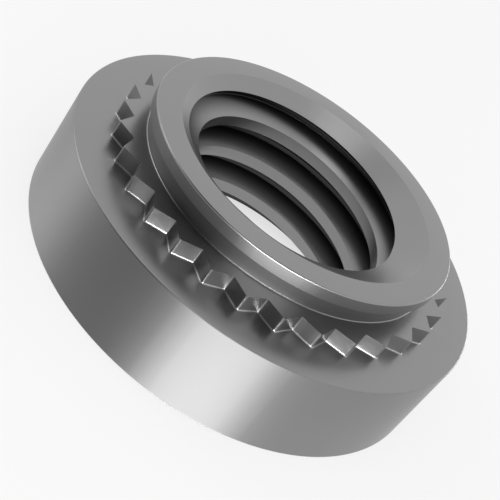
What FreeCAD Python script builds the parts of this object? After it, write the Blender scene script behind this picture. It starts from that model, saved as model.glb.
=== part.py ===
import FreeCAD, Part
import math
import os

# Self clinching nut, in millimetres. It is turned and rolled from one piece of steel: a round head that
# stays on one side of the sheet, a ring of clinching teeth on its upper face, and a collar that fills
# the sheet's hole. The origin is the centre of the head's flat lower face, and +Z runs up the thread.

# Head
head_diameter = 8.64
head_thickness = 1.86
head_edge_round = 0.03

# Ring of clinching teeth
tooth_count = 31
tooth_tip_diameter = 7.17
tooth_depth = 0.27
ring_height = 0.335
tooth_tip_round = 0.045
tooth_gap_round = 0.025

# Collar above the head, with the groove that takes the sheet's metal under its rim
collar_diameter = 6.36
collar_height = 0.96
collar_edge_round = 0.03
rim_height = 0.245
rim_taper_height = 0.21
rim_taper_depth = 0.10
groove_taper_depth = 0.045

# Thread, M5 x 0.8 right-handed, cut in a hole of its tap drill's size
thread_diameter = 5.0
thread_pitch = 0.8
thread_flank_angle = 30.0
thread_start_angle = 95.7
tap_hole_diameter = 4.2

# Countersinks at the hole's two ends
top_countersink_diameter = 5.36
bottom_countersink_diameter = 5.0
countersink_angle = 120.0

# How far the cutting shapes run past the metal
overrun = 0.1

head_radius = head_diameter / 2
collar_radius = collar_diameter / 2
tap_hole_radius = tap_hole_diameter / 2
collar_top = head_thickness + collar_height
ring_top = head_thickness + ring_height
axis_foot = FreeCAD.Vector(0, 0, 0)
up = FreeCAD.Vector(0, 0, 1)


def at(radius, height):
    """A point of the section, which is drawn in the XZ plane."""
    return FreeCAD.Vector(radius, 0, height)


def around(radius, degrees, height=0.0):
    """A point at a radius and an angle around the nut's axis."""
    turn = math.radians(degrees)
    return FreeCAD.Vector(radius * math.cos(turn), radius * math.sin(turn), height)


def rounded_corner(before, corner, after, radius):
    """The two tangent points and the arc that round a corner between two straight lines."""
    back = (before - corner).normalize()
    ahead = (after - corner).normalize()
    half_angle = back.getAngle(ahead) / 2
    reach = radius / math.tan(half_angle)
    middle_way = (back + ahead).normalize()
    bulge = corner + middle_way * (radius / math.sin(half_angle) - radius)
    start = corner + back * reach
    end = corner + ahead * reach
    return start, end, Part.Arc(start, bulge, end).toShape()


def rounded_outline(corners):
    """A closed wire through the corners, each given as a point and its rounding radius."""
    count = len(corners)
    rounded = []
    for index, (corner, radius) in enumerate(corners):
        before = corners[index - 1][0]
        after = corners[(index + 1) % count][0]
        if radius:
            rounded.append(rounded_corner(before, corner, after, radius))
        else:
            rounded.append((corner, corner, None))
    edges = []
    for index, (start, end, arc) in enumerate(rounded):
        if arc:
            edges.append(arc)
        next_start = rounded[(index + 1) % count][0]
        edges.append(Part.makeLine(end, next_start))
    return Part.Wire(edges)


def head_and_collar():
    """The turned body without its hole: the head, the groove under the rim and the collar."""
    rim_low_edge = collar_top - rim_height
    groove_shoulder = rim_low_edge - rim_taper_height
    shoulder_radius = collar_radius - rim_taper_depth
    groove_radius = shoulder_radius - groove_taper_depth
    section = rounded_outline([
        (at(0, 0), 0),
        (at(head_radius, 0), head_edge_round),
        (at(head_radius, head_thickness), head_edge_round),
        (at(groove_radius, head_thickness), 0),
        (at(groove_radius, ring_top), 0),
        (at(shoulder_radius, groove_shoulder), 0),
        (at(collar_radius, rim_low_edge), 0),
        (at(collar_radius, collar_top), collar_edge_round),
        (at(0, collar_top), 0),
    ])
    return Part.Face(section).revolve(axis_foot, up, 360)


def tooth_ring():
    """The ring of upright V teeth, as a prism on the head's upper face."""
    tip_radius = tooth_tip_diameter / 2
    gap_radius = tip_radius - tooth_depth
    step = 360.0 / tooth_count
    corners = []
    for tooth in range(tooth_count):
        tip_angle = tooth * step
        corners.append((around(tip_radius, tip_angle, head_thickness), tooth_tip_round))
        corners.append((around(gap_radius, tip_angle + step / 2, head_thickness), tooth_gap_round))
    outline = rounded_outline(corners)
    return Part.Face(outline).extrude(up * ring_height)


def tap_hole():
    """The drilled hole. Its circle is drawn as four quarter arcs, each of them one wall of the hole."""
    foot = -overrun
    arcs = []
    for quarter in range(4):
        start = 90.0 * quarter
        arcs.append(Part.Arc(
            around(tap_hole_radius, start, foot),
            around(tap_hole_radius, start + 45, foot),
            around(tap_hole_radius, start + 90, foot),
        ).toShape())
    return Part.Face(Part.Wire(arcs)).extrude(up * (collar_top + 2 * overrun))


def countersink(mouth_diameter, mouth_height, outward):
    """The cone that opens one end of the hole. outward is 1 at the top and -1 at the bottom."""
    slope = math.tan(math.radians(countersink_angle / 2))
    mouth_radius = mouth_diameter / 2
    point = at(0, mouth_height - outward * mouth_radius / slope)
    section = Part.makePolygon([
        point,
        at(mouth_radius + overrun * slope, mouth_height + outward * overrun),
        at(0, mouth_height + outward * overrun),
        point,
    ])
    return Part.Face(section).revolve(axis_foot, up, 360)


def thread_groove_turn():
    """One turn of the groove between the thread's crests, starting level with the head's lower face."""
    slope = math.tan(math.radians(thread_flank_angle))
    bottom_radius = thread_diameter / 2
    mouth_radius = tap_hole_radius - overrun
    half_bottom = thread_pitch / 16
    half_mouth = half_bottom + (bottom_radius - mouth_radius) * slope
    section = Part.makePolygon([
        at(mouth_radius, -half_mouth),
        at(bottom_radius, -half_bottom),
        at(bottom_radius, half_bottom),
        at(mouth_radius, half_mouth),
        at(mouth_radius, -half_mouth),
    ])
    helix = Part.makeHelix(thread_pitch, thread_pitch, tap_hole_radius)
    turn = helix.makePipeShell([section], True, True)
    turn.rotate(axis_foot, up, thread_start_angle)
    return turn


def cut_thread(body):
    """The body with the groove cut turn by turn, from one turn below the hole to one above it."""
    groove_turn = thread_groove_turn()
    for turn in range(-1, math.ceil(collar_top / thread_pitch) + 1):
        body = body.cut(groove_turn.translated(up * (turn * thread_pitch)))
    return body


def self_clinching_nut():
    body = head_and_collar().fuse(tooth_ring()).removeSplitter()
    body = body.cut(tap_hole())
    body = body.cut(countersink(top_countersink_diameter, collar_top, 1))
    body = body.cut(countersink(bottom_countersink_diameter, 0, -1))
    return cut_thread(body).Solids[0]


os.makedirs("parts", exist_ok=True)
self_clinching_nut().exportStep("parts/self_clinching_nut.step")
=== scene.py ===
import bpy
import bmesh
import math
import numpy as np
from mathutils import Matrix, Vector


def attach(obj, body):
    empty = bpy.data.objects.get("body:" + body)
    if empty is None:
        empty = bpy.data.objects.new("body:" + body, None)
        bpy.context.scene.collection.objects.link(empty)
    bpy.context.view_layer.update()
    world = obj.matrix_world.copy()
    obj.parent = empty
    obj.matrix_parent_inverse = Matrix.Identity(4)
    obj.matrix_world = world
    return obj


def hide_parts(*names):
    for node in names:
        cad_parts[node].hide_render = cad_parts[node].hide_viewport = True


# Self clinching nut in metres, on the frame of its solid model. The nut's surface is worked out here
# with the model's own sizes, and with the fine roundings where a tooth, a groove or an edge turns.
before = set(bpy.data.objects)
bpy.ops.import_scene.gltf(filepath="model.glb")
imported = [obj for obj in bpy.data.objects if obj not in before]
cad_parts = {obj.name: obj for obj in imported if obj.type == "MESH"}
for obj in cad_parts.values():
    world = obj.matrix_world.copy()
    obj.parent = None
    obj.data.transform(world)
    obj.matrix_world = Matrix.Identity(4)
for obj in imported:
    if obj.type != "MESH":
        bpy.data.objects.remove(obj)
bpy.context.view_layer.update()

MM = 0.001

# Head
head_radius = 4.32 * MM
head_thickness = 1.86 * MM
head_edge_round = 0.03 * MM

# Ring of clinching teeth
tooth_count = 31
tooth_tip_radius = 3.585 * MM
tooth_depth = 0.27 * MM
ring_top = head_thickness + 0.335 * MM
tooth_tip_round = 0.045 * MM
tooth_gap_round = 0.025 * MM
tooth_foot_fillet = 0.025 * MM

# Collar and the groove under its rim
collar_radius = 3.18 * MM
collar_top = head_thickness + 0.96 * MM
collar_edge_round = 0.03 * MM
rim_low_edge = collar_top - 0.245 * MM
groove_shoulder = rim_low_edge - 0.21 * MM
shoulder_radius = collar_radius - 0.10 * MM
groove_radius = shoulder_radius - 0.045 * MM
rim_low_edge_round = 0.02 * MM
groove_foot_fillet = 0.025 * MM

# Thread and the countersinks at its ends
thread_radius = 2.5 * MM
thread_pitch = 0.8 * MM
thread_start_angle = math.radians(95.7)
thread_flank_slope = math.tan(math.radians(30))
thread_root_round = 0.02 * MM
tap_hole_radius = 2.1 * MM
top_mouth_radius = 2.68 * MM
bottom_mouth_radius = 2.5 * MM
countersink_slope = math.tan(math.radians(60))

# Flat rings of the head's face and the ring's top face that stay round, beside the teeth and the collar
head_face_ring = 0.2 * MM
ring_top_ring = 0.06 * MM

# How finely the surface is divided
tip_parts = 3
flank_parts = 3
gap_parts = 6
round_parts = 5
cone_parts = 5
cone_search_steps = 1200
merge_distance = 2e-8
sharp_angle = math.radians(27)

# Half of a rounding's quarter turn lies within this share of its radius from either face
half_arc_share = 1 - math.sqrt(0.5)

# The steel's tone, how far its cloud moves the tone and the roughness either way, and how fine it is
steel_tone = 0.30
cloud_tone = 0.01
cloud_roughness = 0.02
cloud_scale = 700.0

# The steel's tone at the thread's root, where it is painted shade, and on the teeth's tips, gaps and feet,
# where it is a painted highlight, as shares of its tone elsewhere
painted_root_shade = 0.2
painted_edge_highlight = 1.4

# The finishes, in the order in which the nut's materials are added. The head's and the collar's finishes
# are turned, and their steel is also painted lighter on the head's side and darker on the collar's walls
plain_finish = 0
head_finish = 1
collar_finish = 2

# The room's white and the floor's size
room_white = 0.88
floor_half = 0.6

# The camera, fitted to the photograph
camera_azimuth = math.radians(-87.956)
camera_elevation = math.radians(32.100)
camera_roll = math.radians(37.702)
camera_lens = 86.718
camera_place = (0.69403 * MM, -19.68596 * MM, 13.05562 * MM)

# The lamps' distance from the nut's foot
lamp_distance = 0.08


def rounded_profile(corners, parts):
    """Points of a polyline with rounded corners. Each corner is a point and a radius, and its arc runs
    between the two tangent points, at equal steps of the angle about the arc's centre."""
    points = []
    for index, (corner, radius) in enumerate(corners):
        corner = np.array(corner, float)
        if radius == 0 or index in (0, len(corners) - 1):
            points.append(corner[None])
            continue
        back = np.array(corners[index - 1][0], float) - corner
        ahead = np.array(corners[index + 1][0], float) - corner
        back /= np.linalg.norm(back)
        ahead /= np.linalg.norm(ahead)
        half = math.acos(np.clip(back @ ahead, -1, 1)) / 2
        middle = (back + ahead) / np.linalg.norm(back + ahead)
        centre = corner + middle * radius / math.sin(half)
        spread = math.pi / 2 - half
        side = ahead - back
        side /= np.linalg.norm(side)
        turn = np.linspace(-spread, spread, parts + 1)[:, None]
        points.append(centre + radius * (np.sin(turn) * side - np.cos(turn) * middle))
    return np.concatenate(points)


def ring_outline():
    """The tooth ring seen along the axis: the points' x and y, and the angle of the outward normal.
    One tooth's samples are half a tip arc, a straight flank, the gap's arc, a flank and the other half
    arc. The normal's angle runs evenly along an arc, and the samples are turned from tooth to tooth.
    Each sample is marked with 1 on a tip's or a gap's arc and 0 on a flank."""
    step = 2 * math.pi / tooth_count
    gap_radius = tooth_tip_radius - tooth_depth
    along = np.array([gap_radius * math.cos(step / 2) - tooth_tip_radius, gap_radius * math.sin(step / 2)])
    along /= np.linalg.norm(along)
    lean = math.atan2(-along[0], along[1])
    tip_centre = tooth_tip_radius - tooth_tip_round / math.cos(lean)
    gap_centre = gap_radius + tooth_gap_round / math.cos(lean - step / 2)
    gap_centre = gap_centre * np.array([math.cos(step / 2), math.sin(step / 2)])

    def facing(angle):
        return np.stack([np.cos(angle), np.sin(angle)], 1)

    tip_normals = np.linspace(0, lean, tip_parts + 1)
    gap_normals = np.linspace(lean, step - lean, gap_parts + 1)
    next_tip_normals = np.linspace(step - lean, step, tip_parts + 1)
    next_tip_centre = tip_centre * np.array([math.cos(step), math.sin(step)])
    tip_arc = np.array([tip_centre, 0]) + tooth_tip_round * facing(tip_normals)
    gap_arc = gap_centre - tooth_gap_round * facing(gap_normals)
    next_tip_arc = next_tip_centre + tooth_tip_round * facing(next_tip_normals)
    share = np.linspace(0, 1, flank_parts + 1)[1:-1, None]
    falling = tip_arc[-1] + share * (gap_arc[0] - tip_arc[-1])
    rising = gap_arc[-1] + share * (next_tip_arc[0] - gap_arc[-1])
    points = np.concatenate([tip_arc, falling, gap_arc, rising, next_tip_arc[:-1]])
    normals = np.concatenate([
        tip_normals,
        np.full(len(falling), lean),
        gap_normals,
        np.full(len(rising), step - lean),
        next_tip_normals[:-1],
    ])
    on_arc = np.concatenate([
        np.ones(len(tip_arc)),
        np.zeros(len(falling)),
        np.ones(len(gap_arc)),
        np.zeros(len(rising)),
        np.ones(len(next_tip_arc) - 1),
    ])
    radius = np.hypot(points[:, 0], points[:, 1])
    angle = np.arctan2(points[:, 1], points[:, 0])
    tooth = np.arange(tooth_count)[:, None] * step
    radius = np.tile(radius, tooth_count)
    angle = (angle[None] + tooth).ravel()
    normals = (normals[None] + tooth).ravel()
    on_arc = np.append(np.tile(on_arc, tooth_count), 1)
    radius = np.append(radius, radius[0])
    angle = np.append(angle, angle[0] + 2 * math.pi)
    normals = np.append(normals, normals[0] + 2 * math.pi)
    return radius, angle, normals, on_arc


def circle_rows(profile, angle):
    """Rows of a turned surface: each point of the profile, radius and height, goes round the axis."""
    radius, height = profile[:, :1], profile[:, 1:]
    return np.stack([
        radius * np.cos(angle),
        radius * np.sin(angle),
        np.broadcast_to(height, (len(profile), len(angle))),
    ], 2)


def offset_rows(offset, height, radius, angle, normals):
    """Rows that follow the tooth ring: its outline moved outwards by each offset, at each height."""
    offset = np.asarray(offset, float)[:, None]
    return np.stack([
        radius * np.cos(angle) + offset * np.cos(normals),
        radius * np.sin(angle) + offset * np.sin(normals),
        np.broadcast_to(np.asarray(height, float)[:, None], (len(offset), len(angle))),
    ], 2)


def thread_profile():
    """One pitch of the thread, from crest middle to crest middle: the distance along the axis from the
    groove's middle, and the radius there. Crests are flat and sharp, and the root is flat between two
    small roundings."""
    half_root = thread_pitch / 16
    half_crest = half_root + (thread_radius - tap_hole_radius) * thread_flank_slope
    corners = [
        ((-thread_pitch / 2, tap_hole_radius), 0),
        ((-half_crest, tap_hole_radius), 0),
        ((-(half_root + half_crest) / 2, (thread_radius + tap_hole_radius) / 2), 0),
        ((-half_root, thread_radius), thread_root_round),
        ((half_root, thread_radius), thread_root_round),
        (((half_root + half_crest) / 2, (thread_radius + tap_hole_radius) / 2), 0),
        ((half_crest, tap_hole_radius), 0),
        ((thread_pitch / 2, tap_hole_radius), 0),
    ]
    return rounded_profile(corners, round_parts)


def thread_at(height, angle, profile):
    """The thread's radius at a height and an angle: the profile, repeated at every pitch, which rises
    by one pitch in a turn."""
    rise = thread_pitch * (angle - thread_start_angle) / (2 * math.pi)
    along = (height - rise + thread_pitch / 2) % thread_pitch - thread_pitch / 2
    return np.interp(along, profile[:, 0], profile[:, 1])


def cone_end(mouth_height, inward, mouth_radius, angle, profile):
    """Where a countersink's cone ends in the thread, at each angle: the height nearest to the mouth at
    which the thread is as wide as the cone, or else where the cone is as narrow as the hole. The last
    step always ends the search, and the end lies on the straight line between two steps."""
    reach = (mouth_radius - tap_hole_radius) / countersink_slope
    steps = np.linspace(0, reach, cone_search_steps + 1)[:, None]
    cone = mouth_radius - steps * countersink_slope
    spare = thread_at(mouth_height + inward * steps, angle[None], profile) - cone
    spare[-1] = 1
    first = np.argmax(spare >= 0, axis=0)
    column = np.arange(len(angle))
    before = np.maximum(first - 1, 0)
    low, high = spare[before, column], spare[first, column]
    share = np.where(first > 0, -low / np.maximum(high - low, 1e-12), 0)
    share = np.where(first == cone_search_steps, 1, np.clip(share, 0, 1))
    return (before + share * (first - before)) * reach / cone_search_steps


def bore_rows(angle):
    """Rows of the bore, from the top mouth down: the upper cone, the thread and the lower cone. The
    thread's rows climb with the helix and stop at the cones' ends, where those left over fall together.
    With them goes how deep each point lies in the thread: 0 at a crest or on a cone, and 1 at the root."""
    profile = thread_profile()
    top_depth = cone_end(collar_top, -1, top_mouth_radius, angle, profile)
    low_depth = cone_end(0, 1, bottom_mouth_radius, angle, profile)
    share = np.linspace(0, 1, cone_parts + 1)[:, None]
    upper_height = collar_top - share * top_depth
    upper_radius = top_mouth_radius - share * top_depth * countersink_slope
    lower_height = (1 - share) * low_depth
    lower_radius = bottom_mouth_radius - (1 - share) * low_depth * countersink_slope
    turns = math.ceil(collar_top / thread_pitch)
    along = np.concatenate([profile[:-1, 0] + turn * thread_pitch for turn in range(-2, turns + 1)])[::-1]
    rise = thread_pitch * (angle - thread_start_angle) / (2 * math.pi)
    height = np.clip(along[:, None] + rise, low_depth, collar_top - top_depth)
    radius = thread_at(height, angle[None], profile)
    depth = np.concatenate([
        np.zeros_like(upper_radius),
        (radius - tap_hole_radius) / (thread_radius - tap_hole_radius),
        np.zeros_like(lower_radius),
    ])
    height = np.concatenate([upper_height, height, lower_height])
    radius = np.concatenate([upper_radius, radius, lower_radius])
    return np.stack([radius * np.cos(angle), radius * np.sin(angle), height], 2), depth


def nut_surface():
    """All rows of the nut round its section: lower face, head, head's face, tooth ring, groove, rim,
    top face and bore. The last row is the first one again. With them go the depth in the thread, which
    sets the painted shade at the roots, a mark of 1 on the edges with a painted highlight, which are the
    teeth's tips, gaps and feet, and the finish's number. The head's side and the collar's walls are
    turned, and the rounding of the collar's top edge is plain. The head's side is also painted lighter
    and the collar's walls painted darker."""
    radius, angle, normals, on_arc = ring_outline()
    head = rounded_profile([
        ((bottom_mouth_radius, 0), 0),
        ((head_radius, 0), head_edge_round),
        ((head_radius, head_thickness), head_edge_round),
        ((tooth_tip_radius + head_face_ring, head_thickness), 0),
    ], round_parts)
    turn = np.linspace(0, math.pi / 2, round_parts + 1)
    foot = offset_rows(
        tooth_foot_fillet * (1 - np.sin(turn)),
        head_thickness + tooth_foot_fillet * (1 - np.cos(turn)),
        radius, angle, normals,
    )
    wall = offset_rows([0], [ring_top], radius, angle, normals)
    collar = rounded_profile([
        ((groove_radius + ring_top_ring, ring_top), 0),
        ((groove_radius, ring_top), groove_foot_fillet),
        ((shoulder_radius, groove_shoulder), 0),
        ((collar_radius, rim_low_edge), rim_low_edge_round),
        ((collar_radius, collar_top), collar_edge_round),
        ((top_mouth_radius, collar_top), 0),
    ], round_parts)
    outside = np.concatenate([circle_rows(head, angle), foot, wall, circle_rows(collar, angle)])
    bore, depth = bore_rows(angle)
    rows = np.concatenate([outside, bore])
    depth = np.concatenate([np.zeros(outside.shape[:2]), depth])
    # Mark for a painted highlight: the teeth's foot roundings, and the tips' and gaps' arcs on the ring's
    # wall
    highlight_mark = np.zeros(rows.shape[:2])
    highlight_mark[len(head):len(head) + len(foot)] = 1
    highlight_mark[len(head) + len(foot)] = on_arc
    on_side = head[:, :1] > head_radius - half_arc_share * head_edge_round
    above_foot = collar[:, 1:] > ring_top + half_arc_share * groove_foot_fillet
    below_edge = collar[:, 1:] < collar_top - collar_edge_round + merge_distance
    # The head's side takes the turned steel painted lighter, and the collar's walls the turned steel
    # painted darker
    finish = np.full(rows.shape[:2], plain_finish, np.int32)
    finish[:len(head)] = np.where(on_side, head_finish, plain_finish)
    finish[len(outside) - len(collar):len(outside)] = np.where(
        above_foot & below_edge, collar_finish, plain_finish
    )
    return angle, rows, depth, highlight_mark, finish


def mesh_from_rows(name, angle, rows, depth, highlight_mark, finish):
    """A closed mesh of the rows. A face joins two rows and two columns, points that fall together are
    merged, and the map runs round the axis and along the section. The depth is kept at face corners,
    and a face takes the smallest painted highlight mark and the lowest finish of its corners."""
    row_count, column_count = rows.shape[:2]
    index = np.arange(row_count * column_count).reshape(row_count, column_count)
    quads = np.stack([index[:-1, :-1], index[:-1, 1:], index[1:, 1:], index[1:, :-1]], 2).reshape(-1, 4)
    along = np.cumsum(np.append(0, np.linalg.norm(np.diff(rows[:, 0], axis=0), axis=1)))
    around = np.broadcast_to(angle / (2 * math.pi), (row_count, column_count)).ravel()
    up = np.broadcast_to(along[:, None] / along[-1], (row_count, column_count)).ravel()
    mesh = bpy.data.meshes.new(name)
    mesh.from_pydata(rows.reshape(-1, 3).tolist(), [], quads.tolist())
    layer = mesh.uv_layers.new(name="turning")
    layer.data.foreach_set("uv", np.stack([around[quads], up[quads]], 2).ravel())
    thread_depth = mesh.attributes.new("thread depth", "FLOAT", "CORNER")
    thread_depth.data.foreach_set("value", depth.ravel()[quads].ravel())
    highlight_layer = mesh.attributes.new("painted edge highlight", "FLOAT", "FACE")
    highlight_layer.data.foreach_set("value", highlight_mark.ravel()[quads].min(axis=1))
    mesh.polygons.foreach_set("material_index", finish.ravel()[quads].min(axis=1))
    work = bmesh.new()
    work.from_mesh(mesh)
    bmesh.ops.remove_doubles(work, verts=work.verts, dist=merge_distance)
    bmesh.ops.recalc_face_normals(work, faces=work.faces)
    if work.calc_volume(signed=True) < 0:
        bmesh.ops.reverse_faces(work, faces=work.faces)
    work.to_mesh(mesh)
    work.free()
    mesh.polygons.foreach_set("use_smooth", np.ones(len(mesh.polygons), bool))
    mesh.set_sharp_from_angle(angle=sharp_angle)
    return mesh


def steel(name, painted_light_share, roughness, anisotropy):
    """Steel: an even grey metal with a faint cloud in its tone and gloss. Painted shade darkens it towards
    the thread's roots, and a painted highlight lightens it on the teeth's tips, gaps and feet. Its tone is
    also scaled by painted_light_share, painted light and shade that make one copy of the steel lighter or
    darker than another. On a turned face the lines run round the axis, so that its gloss is drawn out
    across them. The tone is the cloud's times a share, which falls smoothly from 1 at a crest to
    painted_root_shade at a root and is painted_edge_highlight on an edge with the painted highlight."""
    material = bpy.data.materials.new(name)
    material.use_nodes = True
    nodes, links = material.node_tree.nodes, material.node_tree.links
    shader = nodes["Principled BSDF"]
    shader.inputs["Metallic"].default_value = 1.0
    place = nodes.new("ShaderNodeTexCoord")
    cloud = nodes.new("ShaderNodeTexNoise")
    cloud.inputs["Scale"].default_value = cloud_scale
    cloud.inputs["Detail"].default_value = 3.0
    links.new(place.outputs["Object"], cloud.inputs["Vector"])
    gloss = nodes.new("ShaderNodeMapRange")
    gloss.inputs["To Min"].default_value = roughness - cloud_roughness
    gloss.inputs["To Max"].default_value = roughness + cloud_roughness
    links.new(cloud.outputs["Fac"], gloss.inputs["Value"])
    links.new(gloss.outputs["Result"], shader.inputs["Roughness"])
    # As vectors a Map Range has its value in socket 6 and its two ends in sockets 9 and 10
    tone = nodes.new("ShaderNodeMapRange")
    tone.data_type = "FLOAT_VECTOR"
    # The tone is scaled by painted_light_share: painted light on the head's side, painted shade on the
    # collar's walls
    tone.inputs[9].default_value = ((steel_tone - cloud_tone) * painted_light_share,) * 3
    tone.inputs[10].default_value = ((steel_tone + cloud_tone) * painted_light_share,) * 3
    links.new(cloud.outputs["Fac"], tone.inputs[6])
    # Painted shade: the tone falls smoothly towards the thread's roots
    depth = nodes.new("ShaderNodeAttribute")
    depth.attribute_name = "thread depth"
    recess_shade = nodes.new("ShaderNodeMapRange")
    recess_shade.interpolation_type = "SMOOTHSTEP"
    recess_shade.inputs["To Min"].default_value = 1.0
    recess_shade.inputs["To Max"].default_value = painted_root_shade
    links.new(depth.outputs["Fac"], recess_shade.inputs["Value"])
    # Painted highlight: the tone is lighter on the teeth's tips, gaps and feet
    edge = nodes.new("ShaderNodeAttribute")
    edge.attribute_name = "painted edge highlight"
    shade_and_highlight = nodes.new("ShaderNodeMath")
    shade_and_highlight.operation = "MULTIPLY_ADD"
    shade_and_highlight.inputs[1].default_value = painted_edge_highlight - 1
    links.new(edge.outputs["Fac"], shade_and_highlight.inputs[0])
    links.new(recess_shade.outputs["Result"], shade_and_highlight.inputs[2])
    scaled = nodes.new("ShaderNodeVectorMath")
    scaled.operation = "SCALE"
    links.new(tone.outputs[1], scaled.inputs[0])
    links.new(shade_and_highlight.outputs["Value"], scaled.inputs["Scale"])
    links.new(scaled.outputs["Vector"], shader.inputs["Base Color"])
    # The tangent runs round the axis, and a quarter of a turn draws the gloss out across it
    if anisotropy:
        shader.inputs["Anisotropic"].default_value = anisotropy
        shader.inputs["Anisotropic Rotation"].default_value = 0.25
        along = nodes.new("ShaderNodeTangent")
        along.direction_type = "UV_MAP"
        along.uv_map = "turning"
        links.new(along.outputs["Tangent"], shader.inputs["Tangent"])
    return material


def background_rays(nodes, links):
    """1 for the rays that the camera, metal or glass sends out, and 0 for those that light a surface."""
    path = nodes.new("ShaderNodeLightPath")
    total = path.outputs["Is Camera Ray"]
    for kind in ("Is Glossy Ray", "Is Transmission Ray"):
        add = nodes.new("ShaderNodeMath")
        add.operation = "MAXIMUM"
        links.new(total, add.inputs[0])
        links.new(path.outputs[kind], add.inputs[1])
        total = add.outputs["Value"]
    return total


def pale_floor(name, colour, glow):
    """The floor: matt and pale, and part of it shines white to the camera and the metal."""
    material = bpy.data.materials.new(name)
    material.use_nodes = True
    nodes, links = material.node_tree.nodes, material.node_tree.links
    matt = nodes["Principled BSDF"]
    matt.inputs["Base Color"].default_value = (*colour, 1)
    matt.inputs["Roughness"].default_value = 0.9
    matt.inputs["Specular IOR Level"].default_value = 0.0
    white = nodes.new("ShaderNodeEmission")
    white.inputs["Color"].default_value = (1, 1, 1, 1)
    white.inputs["Strength"].default_value = 1.0
    part = nodes.new("ShaderNodeMath")
    part.operation = "MULTIPLY"
    part.inputs[1].default_value = glow
    links.new(background_rays(nodes, links), part.inputs[0])
    mix = nodes.new("ShaderNodeMixShader")
    links.new(part.outputs["Value"], mix.inputs["Fac"])
    links.new(matt.outputs["BSDF"], mix.inputs[1])
    links.new(white.outputs["Emission"], mix.inputs[2])
    links.new(mix.outputs["Shader"], nodes["Material Output"].inputs["Surface"])
    return material


def add_room(azimuth, elevation, full_angle, edge_angle, dark, light):
    """The white room round the nut, with a soft dark zone on one side. The zone's centre is a direction,
    it is fully dark within one angle of it and ends at another. Surfaces are lit by an even light. The
    zone follows the cosine of the angle to its centre, which is the two directions' dot product."""
    world = bpy.data.worlds.new("room")
    bpy.context.scene.world = world
    world.use_nodes = True
    nodes, links = world.node_tree.nodes, world.node_tree.links
    side, lift = math.radians(azimuth), math.radians(elevation)
    place = nodes.new("ShaderNodeTexCoord")
    toward = nodes.new("ShaderNodeVectorMath")
    toward.operation = "DOT_PRODUCT"
    toward.inputs[1].default_value = (
        math.cos(lift) * math.cos(side),
        math.cos(lift) * math.sin(side),
        math.sin(lift),
    )
    links.new(place.outputs["Generated"], toward.inputs[0])
    white = nodes.new("ShaderNodeMapRange")
    white.interpolation_type = "SMOOTHSTEP"
    white.inputs["From Min"].default_value = math.cos(math.radians(edge_angle))
    white.inputs["From Max"].default_value = math.cos(math.radians(full_angle))
    white.inputs["To Min"].default_value = room_white
    white.inputs["To Max"].default_value = dark
    links.new(toward.outputs["Value"], white.inputs["Value"])
    # A Mix of numbers has its share in socket 0 and the two numbers in sockets 2 and 3
    strength = nodes.new("ShaderNodeMix")
    strength.inputs[2].default_value = light
    links.new(background_rays(nodes, links), strength.inputs[0])
    links.new(white.outputs["Result"], strength.inputs[3])
    background = nodes["Background"]
    background.inputs["Color"].default_value = (1, 1, 1, 1)
    links.new(strength.outputs[0], background.inputs["Strength"])


def add_floor(material):
    """A flat square floor under the nut."""
    corners = floor_half * np.array([(-1, -1, 0), (1, -1, 0), (1, 1, 0), (-1, 1, 0)])
    mesh = bpy.data.meshes.new("floor")
    mesh.from_pydata(corners.tolist(), [], [(0, 1, 2, 3)])
    mesh.materials.append(material)
    floor = bpy.data.objects.new("floor", mesh)
    bpy.context.scene.collection.objects.link(floor)


def add_lamp(name, azimuth, elevation, width, height, power):
    """A soft rectangular lamp at an azimuth and elevation seen from the nut, turned towards it."""
    lamp = bpy.data.lights.new(name, "AREA")
    lamp.shape = "RECTANGLE"
    lamp.size = width
    lamp.size_y = height
    lamp.energy = power
    side, lift = math.radians(azimuth), math.radians(elevation)
    place = lamp_distance * Vector((
        math.cos(lift) * math.cos(side),
        math.cos(lift) * math.sin(side),
        math.sin(lift),
    ))
    item = bpy.data.objects.new(name, lamp)
    item.location = place
    item.rotation_euler = place.to_track_quat("Z", "Y").to_euler()
    bpy.context.scene.collection.objects.link(item)


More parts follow.
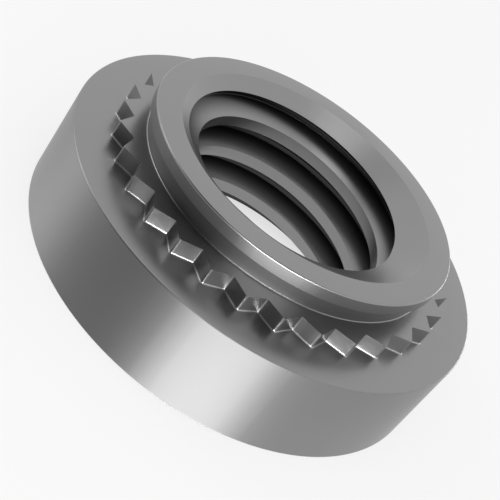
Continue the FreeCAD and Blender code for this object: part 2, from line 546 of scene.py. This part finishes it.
def add_camera():
    """The camera stands on the nut's front side, looks down at it and is rolled about its own axis."""
    back = Vector((
        math.cos(camera_elevation) * math.cos(camera_azimuth),
        math.cos(camera_elevation) * math.sin(camera_azimuth),
        math.sin(camera_elevation),
    ))
    level = Vector((-math.sin(camera_azimuth), math.cos(camera_azimuth), 0))
    upright = back.cross(level)
    right = math.cos(camera_roll) * level + math.sin(camera_roll) * upright
    top = back.cross(right)
    camera = bpy.data.cameras.new("camera")
    camera.lens = camera_lens
    camera.sensor_width = 36
    camera.clip_start = 0.001
    camera.clip_end = 10
    item = bpy.data.objects.new("camera", camera)
    item.matrix_world = Matrix((
        (right.x, top.x, back.x, camera_place[0]),
        (right.y, top.y, back.y, camera_place[1]),
        (right.z, top.z, back.z, camera_place[2]),
        (0, 0, 0, 1),
    ))
    bpy.context.scene.collection.objects.link(item)
    bpy.context.scene.camera = item


# The nut
angle, rows, depth, highlight_mark, finish = nut_surface()
nut_mesh = mesh_from_rows("nut", angle, rows, depth, highlight_mark, finish)
nut_mesh.materials.append(steel("steel", painted_light_share=1.0, roughness=0.30, anisotropy=0))
# The head's side steel is painted lighter and the collar's walls' steel painted darker: painted light and
# shade on top of their turned gloss
nut_mesh.materials.append(steel("turned head painted lighter", painted_light_share=1.32, roughness=0.61, anisotropy=0.98))
nut_mesh.materials.append(steel("turned collar painted darker", painted_light_share=0.52, roughness=0.44, anisotropy=0.8))
nut = bpy.data.objects.new("nut", nut_mesh)
bpy.context.scene.collection.objects.link(nut)
even = nut.modifiers.new("even shading", "WEIGHTED_NORMAL")
even.keep_sharp = True
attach(nut, "root")
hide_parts("self_clinching_nut")

# The floor, the room, the lamps and the camera
add_floor(pale_floor("pale floor", colour=(0.9, 0.9, 0.9), glow=0.7))
add_room(azimuth=-105, elevation=36, full_angle=36, edge_angle=66, dark=0.0, light=0.7)
add_lamp("front strip", azimuth=-70, elevation=4, width=0.062, height=0.010, power=0.084)
add_lamp("front lamp", azimuth=-92, elevation=38, width=0.026, height=0.026, power=0.0045)
add_lamp("low back lamp", azimuth=58, elevation=7, width=0.03, height=0.015, power=0.006)
add_lamp("top lamp", azimuth=0, elevation=90, width=0.025, height=0.025, power=0.0025)
add_lamp("left lamp", azimuth=170, elevation=38, width=0.034, height=0.020, power=0.0055)

add_camera()
bpy.context.scene.view_settings.view_transform = "Standard"
